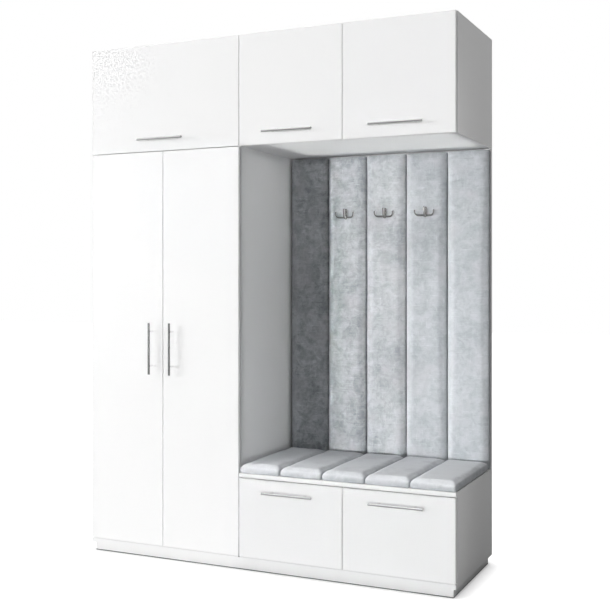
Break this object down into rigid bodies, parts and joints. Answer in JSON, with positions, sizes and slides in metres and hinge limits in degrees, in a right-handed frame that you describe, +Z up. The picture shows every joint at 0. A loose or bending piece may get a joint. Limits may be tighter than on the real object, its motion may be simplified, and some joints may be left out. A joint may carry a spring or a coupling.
{
  "type": "hallway wardrobe",
  "caption": "White hallway wardrobe with tall hinged doors, lift-up top flaps, a padded bench niche with coat hooks, and drawers under the seat.",
  "frame": {"origin": "on the floor, below the centre of the unit with its handles", "axes": "+Z up, +Y to the wall, +X to the right as seen from the front"},
  "size_m": [1.8, 0.63, 2.4],
  "materials": {
    "front_white": "satin",
    "board_white": "satin",
    "hardboard": "matt",
    "velvet": "matt",
    "satin_steel": "satin",
    "nickel": "satin",
    "chrome": "gloss",
    "zinc_steel": "satin",
    "dark_paint": "satin"
  },
  "bodies": {
    "carcass": {"plinth_rails": "board_white", "base_board": "board_white", "wardrobe_left_side": "board_white", "wardrobe_right_side": "board_white", "wardrobe_top": "board_white", "hat_shelf": "board_white", "left_cupboard_boards": "board_white", "right_cupboard_boards": "board_white", "bench_uprights": "board_white", "bench_top": "board_white", "wall_fixing_rails": "board_white", "back_sheets": "hardboard", "clothes_rail": "chrome", "rail_sockets": "zinc_steel", "door_hinge_arms": "zinc_steel", "flap_hinge_arms": "zinc_steel", "strut_brackets": "zinc_steel", "drawer_runners": "zinc_steel", "niche_back_board": "board_white", "coat_hooks": "nickel", "seat_pad_1": "velvet", "seat_pad_2": "velvet", "seat_pad_3": "velvet", "seat_pad_4": "velvet", "seat_pad_5": "velvet", "back_pad_1": "velvet", "back_pad_2": "velvet", "back_pad_3": "velvet", "back_pad_4": "velvet", "back_pad_5": "velvet"},
    "left_door": {"left_door": "front_white", "left_door_handle": "satin_steel", "left_door_hinge_cups": "zinc_steel"},
    "right_door": {"right_door": "front_white", "right_door_handle": "satin_steel", "right_door_hinge_cups": "zinc_steel"},
    "left_flap": {"left_flap": "front_white", "left_flap_handle": "satin_steel", "left_flap_hinge_cups_and_lugs": "zinc_steel"},
    "left_flap_strut_tubes": {"left_flap_strut_tubes": "dark_paint"},
    "left_flap_strut_rods": {"left_flap_strut_rods": "chrome"},
    "middle_flap": {"middle_flap": "front_white", "middle_flap_handle": "satin_steel", "middle_flap_hinge_cups_and_lugs": "zinc_steel"},
    "middle_flap_strut_tubes": {"middle_flap_strut_tubes": "dark_paint"},
    "middle_flap_strut_rods": {"middle_flap_strut_rods": "chrome"},
    "right_flap": {"right_flap": "front_white", "right_flap_handle": "satin_steel", "right_flap_hinge_cups_and_lugs": "zinc_steel"},
    "right_flap_strut_tubes": {"right_flap_strut_tubes": "dark_paint"},
    "right_flap_strut_rods": {"right_flap_strut_rods": "chrome"},
    "left_drawer": {"left_drawer_front": "front_white", "left_drawer_handle": "satin_steel", "left_drawer_box": "board_white", "left_drawer_slides": "zinc_steel"},
    "right_drawer": {"right_drawer_front": "front_white", "right_drawer_handle": "satin_steel", "right_drawer_box": "board_white", "right_drawer_slides": "zinc_steel"}
  },
  "joints": [
    {"name": "left_door_swing", "type": "hinge", "parent": "carcass", "child": "left_door", "pos_m": [-0.89, -0.2665, 0.98], "axis": [0, 0, -1], "range_deg": [0, 90]},
    {"name": "right_door_swing", "type": "hinge", "parent": "carcass", "child": "right_door", "pos_m": [-0.11, -0.2665, 0.98], "axis": [0, 0, 1], "range_deg": [0, 90]},
    {"name": "left_flap_lift", "type": "hinge", "parent": "carcass", "child": "left_flap", "pos_m": [-0.5, -0.2665, 2.39], "axis": [-1, 0, 0], "range_deg": [0, 90]},
    {"name": "left_flap_strut_turn", "type": "hinge", "parent": "carcass", "child": "left_flap_strut_tubes", "pos_m": [-0.5, -0.0765, 2.17], "axis": [1, 0, 0], "range_deg": [0, 6.68]},
    {"name": "left_flap_strut_stroke", "type": "slide", "parent": "left_flap_strut_tubes", "child": "left_flap_strut_rods", "axis": [0, -0.7248, 0.689], "range_m": [0, 0.09648]},
    {"name": "middle_flap_lift", "type": "hinge", "parent": "carcass", "child": "middle_flap", "pos_m": [0.15, -0.2665, 2.39], "axis": [-1, 0, 0], "range_deg": [0, 90]},
    {"name": "middle_flap_strut_turn", "type": "hinge", "parent": "carcass", "child": "middle_flap_strut_tubes", "pos_m": [0.15, -0.0765, 2.17], "axis": [1, 0, 0], "range_deg": [0, 6.68]},
    {"name": "middle_flap_strut_stroke", "type": "slide", "parent": "middle_flap_strut_tubes", "child": "middle_flap_strut_rods", "axis": [0, -0.7248, 0.689], "range_m": [0, 0.09648]},
    {"name": "right_flap_lift", "type": "hinge", "parent": "carcass", "child": "right_flap", "pos_m": [0.65, -0.2665, 2.39], "axis": [-1, 0, 0], "range_deg": [0, 90]},
    {"name": "right_flap_strut_turn", "type": "hinge", "parent": "carcass", "child": "right_flap_strut_tubes", "pos_m": [0.65, -0.0765, 2.17], "axis": [1, 0, 0], "range_deg": [0, 6.68]},
    {"name": "right_flap_strut_stroke", "type": "slide", "parent": "right_flap_strut_tubes", "child": "right_flap_strut_rods", "axis": [0, -0.7248, 0.689], "range_m": [0, 0.09648]},
    {"name": "left_drawer_slide", "type": "slide", "parent": "carcass", "child": "left_drawer", "axis": [0, -1, 0], "range_m": [0, 0.35]},
    {"name": "right_drawer_slide", "type": "slide", "parent": "carcass", "child": "right_drawer", "axis": [0, -1, 0], "range_m": [0, 0.35]}
  ],
  "couplings": [
    {"joint": "left_flap_strut_turn", "follows": "left_flap_lift", "ratio": 0.07422},
    {"joint": "left_flap_strut_stroke", "follows": "left_flap_lift", "m_per_rad": 0.061423},
    {"joint": "middle_flap_strut_turn", "follows": "middle_flap_lift", "ratio": 0.07422},
    {"joint": "middle_flap_strut_stroke", "follows": "middle_flap_lift", "m_per_rad": 0.061423},
    {"joint": "right_flap_strut_turn", "follows": "right_flap_lift", "ratio": 0.07422},
    {"joint": "right_flap_strut_stroke", "follows": "right_flap_lift", "m_per_rad": 0.061423}
  ]
}
